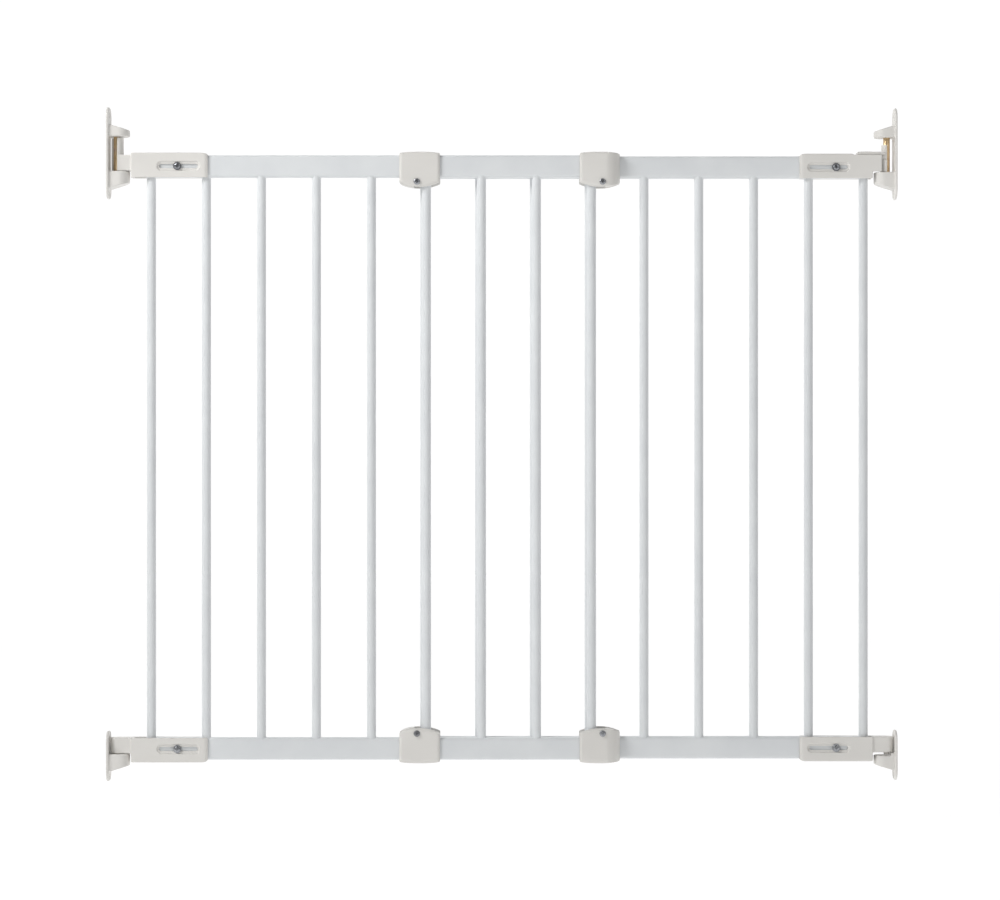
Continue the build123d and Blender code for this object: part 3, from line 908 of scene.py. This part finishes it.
@dataclass
class Fasteners:
    """Cross screws, washers and nuts, two of each in a group, one above the other."""

    finishes: Finishes
    head_radius: float = 3.9 * MM
    head_height: float = 2.4 * MM
    head_dome: tuple[tuple[float, float], ...] = (
        (0.35, 0.01), (0.6, 0.05), (0.78, 0.14), (0.9, 0.28), (0.975, 0.5), (1.0, 0.7), (1.0, 0.96))
    head_foot: float = 0.97
    shank_radius: float = 2.0 * MM
    thread_pitch: float = 0.7 * MM
    thread_depth: float = 0.3 * MM
    thread_root: float = 0.35
    thread_crest: float = 0.8
    thread_reach: float = 1.6
    thread_runout: float = 0.4 * MM
    cross_width: float = 0.9 * MM
    cross_span: float = 4.6 * MM
    cross_depth: float = 2.8 * MM
    cross_point: tuple[float, float] = (1.5 * MM, 0.2 * MM)
    point_depth: float = 1.9 * MM
    screw_sides: int = 28
    washer_radius: float = 4.9 * MM
    washer_height: float = 0.8 * MM
    washer_edge: float = 0.15 * MM
    nut_radius: float = 4.04 * MM
    nut_height: float = 3.2 * MM
    nut_flats: float = 7.0 * MM
    nut_edge: float = 0.45 * MM
    nut_margin: float = 1.001
    turned_sides: int = 36
    merge_distance: float = 0.004 * MM
    groups: dict[str, Body] = field(default_factory=lambda: {
        "hinge_end": Body.FRONT,
        "latch_end": Body.BACK,
        "right_collar": Body.FRONT,
        "left_collar": Body.BACK,
    })

    def lathe(self, plan: Plan, profile: Sequence[tuple[float, float]], steps: int) -> bpy.types.NodeSocket:
        """A solid turned about Y from radius and height pairs.

        Args:
            plan: The tree that the solid is built in.
            profile: Radius and distance along Y, from one closed end to the other.
            steps: Faces round the axis.

        Returns:
            The turned mesh, its seam and poles merged.
        """
        parts = []
        for (radius_a, y_a), (radius_b, y_b) in zip(profile, profile[1:]):
            cone = plan.node("GeometryNodeMeshCone", {"fill_type": "NONE"}, {
                "Vertices": steps, "Radius Top": radius_b, "Radius Bottom": radius_a,
                "Depth": max(y_b - y_a, 1e-7)})
            parts.append(plan.moved(cone.outputs[0], (0.0, y_a, 0.0), (-math.pi / 2, 0, 0)))
        merged = plan.node("GeometryNodeMergeByDistance", {}, {
            "Geometry": plan.joined(*parts), "Distance": self.merge_distance})
        return merged.outputs[0]

    def recess(self, plan: Plan) -> bpy.types.NodeSocket:
        """The cross-shaped driver of a screw's recess.

        Args:
            plan: The tree that the driver is built in.

        Returns:
            The driver's mesh, pointing along Y.
        """
        width, span, depth = self.cross_width, self.cross_span, self.cross_depth
        blades = [plan.node("GeometryNodeMeshCube", {}, {"Size": size}).outputs[0]
                  for size in ((width, depth, span), (span, depth, width))]
        point = plan.node("GeometryNodeMeshCone", {}, {
            "Vertices": 12, "Radius Top": self.cross_point[0], "Radius Bottom": self.cross_point[1],
            "Depth": self.point_depth}).outputs[0]
        tip = plan.moved(point, (0.0, self.point_depth, 0.0), (math.pi / 2, 0, 0))
        return plan.joined(*blades, tip)

    def screw(self, plan: Plan, length: float) -> bpy.types.NodeSocket:
        """A pan-head screw with a cross recess and a threaded end.

        Args:
            plan: The tree that the screw is built in.
            length: From the top of the head to the end of the thread.

        Returns:
            The screw's mesh, its head's top at Y 0.
        """
        radius, height = self.head_radius, self.head_height
        profile = [(0.0, 0.0)] + [(radius * out, height * down) for out, down in self.head_dome]
        profile += [(radius * self.head_foot, height), (self.shank_radius, height)]
        thread_start = length - self.nut_height * self.thread_reach
        profile.append((self.shank_radius, thread_start))
        root = self.shank_radius - self.thread_depth
        turns = int((length - thread_start - self.thread_runout) / self.thread_pitch)
        for turn in range(turns):
            y = thread_start + turn * self.thread_pitch
            profile.append((root, y + self.thread_root * self.thread_pitch))
            profile.append((self.shank_radius, y + self.thread_crest * self.thread_pitch))
        profile += [(root, length), (0.0, length)]
        body = self.lathe(plan, profile, self.screw_sides)
        cut = plan.node("GeometryNodeMeshBoolean", {"operation": "DIFFERENCE", "solver": "EXACT"}, {
            "Mesh 1": body, "Mesh 2": [self.recess(plan)], "Self Intersection": True})
        return cut.outputs[0]

    def disc(self, plan: Plan, outer: float, height: float, edge: float) -> bpy.types.NodeSocket:
        """A flat turned disc with broken edges.

        Args:
            plan: The tree that the disc is built in.
            outer: Its radius.
            height: Its thickness along Y.
            edge: How far both rims are broken.

        Returns:
            The disc's mesh, its front at Y 0.
        """
        profile = [(0.0, 0.0), (outer - edge, 0.0), (outer, edge), (outer, height - edge),
                   (outer - edge, height), (0.0, height)]
        return self.lathe(plan, profile, self.turned_sides)

    def washer(self, plan: Plan) -> bpy.types.NodeSocket:
        """A flat washer with broken edges."""
        return self.disc(plan, self.washer_radius, self.washer_height, self.washer_edge)

    def nut(self, plan: Plan) -> bpy.types.NodeSocket:
        """A hexagon nut with its corners turned off.

        Args:
            plan: The tree that the nut is built in.

        Returns:
            The nut's mesh, its front at Y 0.
        """
        hexagon = plan.node("GeometryNodeMeshCylinder", {}, {
            "Vertices": 6, "Radius": self.nut_radius, "Depth": self.nut_height})
        block = plan.moved(hexagon.outputs[0], (0.0, self.nut_height / 2, 0.0), (math.pi / 2, 0, 0))
        turned = self.disc(plan, self.nut_radius * self.nut_margin, self.nut_height, self.nut_edge)
        return plan.node("GeometryNodeMeshBoolean", {"operation": "INTERSECT", "solver": "EXACT"}, {
            "Mesh 2": [block, turned]}).outputs[0]

    def group(self, prefix: str, kind: Fastener, body: Body) -> None:
        """Builds the two pieces of one CAD node.

        Args:
            prefix: The group's name.
            kind: The kind of fastener.
            body: The body that the group rides on.
        """
        node = f"{prefix}_{kind.value}"
        low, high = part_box(node)
        width = high.x - low.x
        tall = self.nut_flats if kind is Fastener.NUT else width
        plan = Plan(node, {
            "Count": 2, "X": (low.x + high.x) / 2, "Y": low.y, "Low Z": low.z + tall / 2,
            "Rise": high.z - low.z - tall}, self.finishes.of(Slot.ZINC))
        if kind is Fastener.SCREW:
            piece = self.screw(plan, high.y - low.y)
        elif kind is Fastener.WASHER:
            piece = self.washer(plan)
        else:
            piece = self.nut(plan)
        row = plan.row(piece, plan.size("Count"),
                       plan.point(plan.size("X"), plan.size("Y"), plan.size("Low Z")),
                       plan.point(z=plan.size("Rise")))
        keep(plan.mesh(f"{node}_detail", row), body, [node])

    def build(self) -> None:
        """Builds every group."""
        for prefix, body in self.groups.items():
            self.group(prefix, Fastener.SCREW, body)
            self.group(prefix, Fastener.NUT, body)
            if prefix.endswith("_end"):
                self.group(prefix, Fastener.WASHER, body)


@dataclass
class Pins:
    """Steel pins seated in the wall brackets."""

    finishes: Finishes
    radius: float = 4.0 * MM
    steps: int = 48
    dome: tuple[tuple[float, float], ...] = (
        (0.8 * MM, 0.0), (0.25 * MM, 0.2 * MM), (0.0, 0.7 * MM))
    names: tuple[str, ...] = ("hinge_top_pin", "hinge_bottom_pin", "latch_top_pin")

    def build(self) -> None:
        """Turns each pin with chamfered, slightly domed ends."""
        for node in self.names:
            low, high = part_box(node)
            x, y = (low.x + high.x) / 2, (low.y + high.y) / 2
            profile = [(self.radius - inset, low.z + rise) for inset, rise in self.dome]
            profile += [(self.radius - inset, high.z - rise) for inset, rise in reversed(self.dome)]
            turns = [i * math.tau / self.steps for i in range(self.steps)]
            work = bmesh.new()
            rings = []
            for radius, z in profile:
                rings.append([work.verts.new((x + radius * math.cos(turn), y + radius * math.sin(turn), z))
                              for turn in turns])
            for first, second in zip(rings, rings[1:]):
                for i in range(self.steps):
                    j = (i + 1) % self.steps
                    work.faces.new((first[i], first[j], second[j], second[i]))
            work.faces.new(rings[0])
            work.faces.new(rings[-1])
            bmesh.ops.recalc_face_normals(work, faces=work.faces)
            mesh = bpy.data.meshes.new(f"{node}_turned")
            work.to_mesh(mesh)
            work.free()
            mesh.materials.append(self.finishes.of(Slot.PASSIVATED))
            smooth_by_angle(mesh)
            piece = bpy.data.objects.new(f"{node}_turned", mesh)
            bpy.context.scene.collection.objects.link(piece)
            keep(piece, Body.WALL, [node])


@dataclass
class ThumbGrip:
    """Raised ribs across the latch's thumb piece."""

    finishes: Finishes
    count: int = 6
    pitch: float = 2.3 * MM
    inset: float = 5.5 * MM
    length: float = 10.0 * MM
    radius: float = 0.6 * MM
    top_below_jaw: float = 8.3 * MM
    sides: int = 16

    def build(self) -> None:
        """Builds the ribs as one row."""
        low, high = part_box("latch_slider")
        plan = Plan("thumb_grip", {
            "Count": self.count, "Pitch": self.pitch, "Length": self.length, "Radius": self.radius,
            "First X": low.x + self.inset, "Y": (low.y + high.y) / 2,
            "Z": high.z - self.top_below_jaw}, self.finishes.of(Slot.PLASTIC))
        bar = plan.node("GeometryNodeMeshCylinder", {}, {
            "Vertices": self.sides, "Radius": plan.size("Radius"), "Depth": plan.size("Length")}).outputs[0]
        ball = plan.node("GeometryNodeMeshUVSphere", {}, {
            "Segments": self.sides, "Rings": self.sides // 2, "Radius": plan.size("Radius")}).outputs[0]
        half = plan.sum("MULTIPLY", plan.size("Length"), 0.5)
        rib = plan.joined(plan.moved(bar, (0.0, 0.0, 0.0), (math.pi / 2, 0, 0)),
                          plan.moved(ball, plan.point(y=half)),
                          plan.moved(ball, plan.point(y=plan.sum("MULTIPLY", half, -1.0))))
        row = plan.row(rib, plan.size("Count"),
                       plan.point(plan.size("First X"), plan.size("Y"), plan.size("Z")),
                       plan.point(plan.size("Pitch")))
        keep(plan.mesh("thumb_grip_ribs", row), Body.SLIDER)


# ------------------------------------------------------------------ studio


@dataclass
class Studio:
    """Floor, lights and camera."""

    floor_drop: float = 0.05
    floor_size: float = 34.0
    backdrop_y: float = 7.0
    camera_distance: float = 3.5
    lens: float = 105.0
    aim: tuple[float, float] = (0.471, 0.367)
    world: float = 0.16
    backdrop_height: float = 10.0
    floor_glow: float = 0.85
    floor_shade: float = 0.25
    backdrop_glow: float = 1.0
    backdrop_shade: float = 0.05
    sensor_width: float = 36.0
    clip_end: float = 100.0
    lights: tuple[tuple[str, tuple[float, float, float], float, float], ...] = (
        ("key", (-1.7, -1.1, 1.5), 0.9, 36.0),
        ("fill", (2.0, -2.6, 1.7), 1.8, 13.0),
        ("top", (0.1, 0.5, 2.6), 1.6, 9.0),
    )

    def sheet(self, name: str, points: Sequence[Sequence[float]], glow: float, shade: float) -> None:
        """Adds one flat sheet of the stage.

        Args:
            name: The sheet's name.
            points: Its four corners.
            glow: How brightly it glows of itself.
            shade: Its own paleness.
        """
        mesh = bpy.data.meshes.new(name)
        mesh.from_pydata([tuple(point) for point in points], [], [(0, 1, 2, 3)])
        mesh.materials.append(StudioSheet(f"{name}_sheet", glow, shade).make())
        made = bpy.data.objects.new(name, mesh)
        bpy.context.scene.collection.objects.link(made)
        made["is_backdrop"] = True

    def build(self) -> None:
        """Sets the stage round the gate."""
        low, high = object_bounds()
        middle = (low + high) / 2
        half = self.floor_size / 2
        left, right, z = middle.x - half, middle.x + half, low.z - self.floor_drop
        back = self.backdrop_y
        self.sheet("floor", [(left, -half, z), (right, -half, z), (right, back, z), (left, back, z)],
                   self.floor_glow, self.floor_shade)
        top = z + self.backdrop_height
        self.sheet("backdrop", [(left, back, z), (right, back, z), (right, back, top), (left, back, top)],
                   self.backdrop_glow, self.backdrop_shade)
        self.light_up(middle)
        self.aim_camera()

    def light_up(self, middle: Vector) -> None:
        """Adds the soft lights and the pale surroundings.

        Args:
            middle: The point that every light faces.
        """
        for name, offset, size, power in self.lights:
            lamp = bpy.data.lights.new(name, "AREA")
            lamp.shape = "SQUARE"
            lamp.size = size
            lamp.energy = power
            holder = bpy.data.objects.new(name, lamp)
            holder.location = middle + Vector(offset)
            holder.rotation_mode = "QUATERNION"
            holder.rotation_quaternion = (middle - holder.location).to_track_quat("-Z", "Y")
            bpy.context.scene.collection.objects.link(holder)
        world = bpy.data.worlds.new("studio")
        world.use_nodes = True
        background = world.node_tree.nodes["Background"]
        background.inputs["Color"].default_value = (1.0, 1.0, 1.0, 1.0)
        background.inputs["Strength"].default_value = self.world
        bpy.context.scene.world = world
        bpy.context.scene.view_settings.view_transform = "Standard"

    def aim_camera(self) -> None:
        """Stands the camera level in front of the gate's middle."""
        data = bpy.data.cameras.new("camera")
        data.lens = self.lens
        data.sensor_width = self.sensor_width
        data.clip_end = self.clip_end
        camera = bpy.data.objects.new("camera", data)
        camera.location = (self.aim[0], -self.camera_distance, self.aim[1])
        camera.rotation_euler = (math.pi / 2, 0.0, 0.0)
        bpy.context.scene.collection.objects.link(camera)
        bpy.context.scene.camera = camera


def main() -> None:
    """Builds the gate's looks, piece by piece."""
    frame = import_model()
    finishes = Finishes()
    Panel("front", Body.FRONT, finishes).build()
    Panel("back", Body.BACK, finishes).build()
    Mouldings(frame, finishes).build()
    Fasteners(finishes).build()
    Pins(finishes).build()
    ThumbGrip(finishes).build()
    Studio().build()


if __name__ == "__main__":
    main()
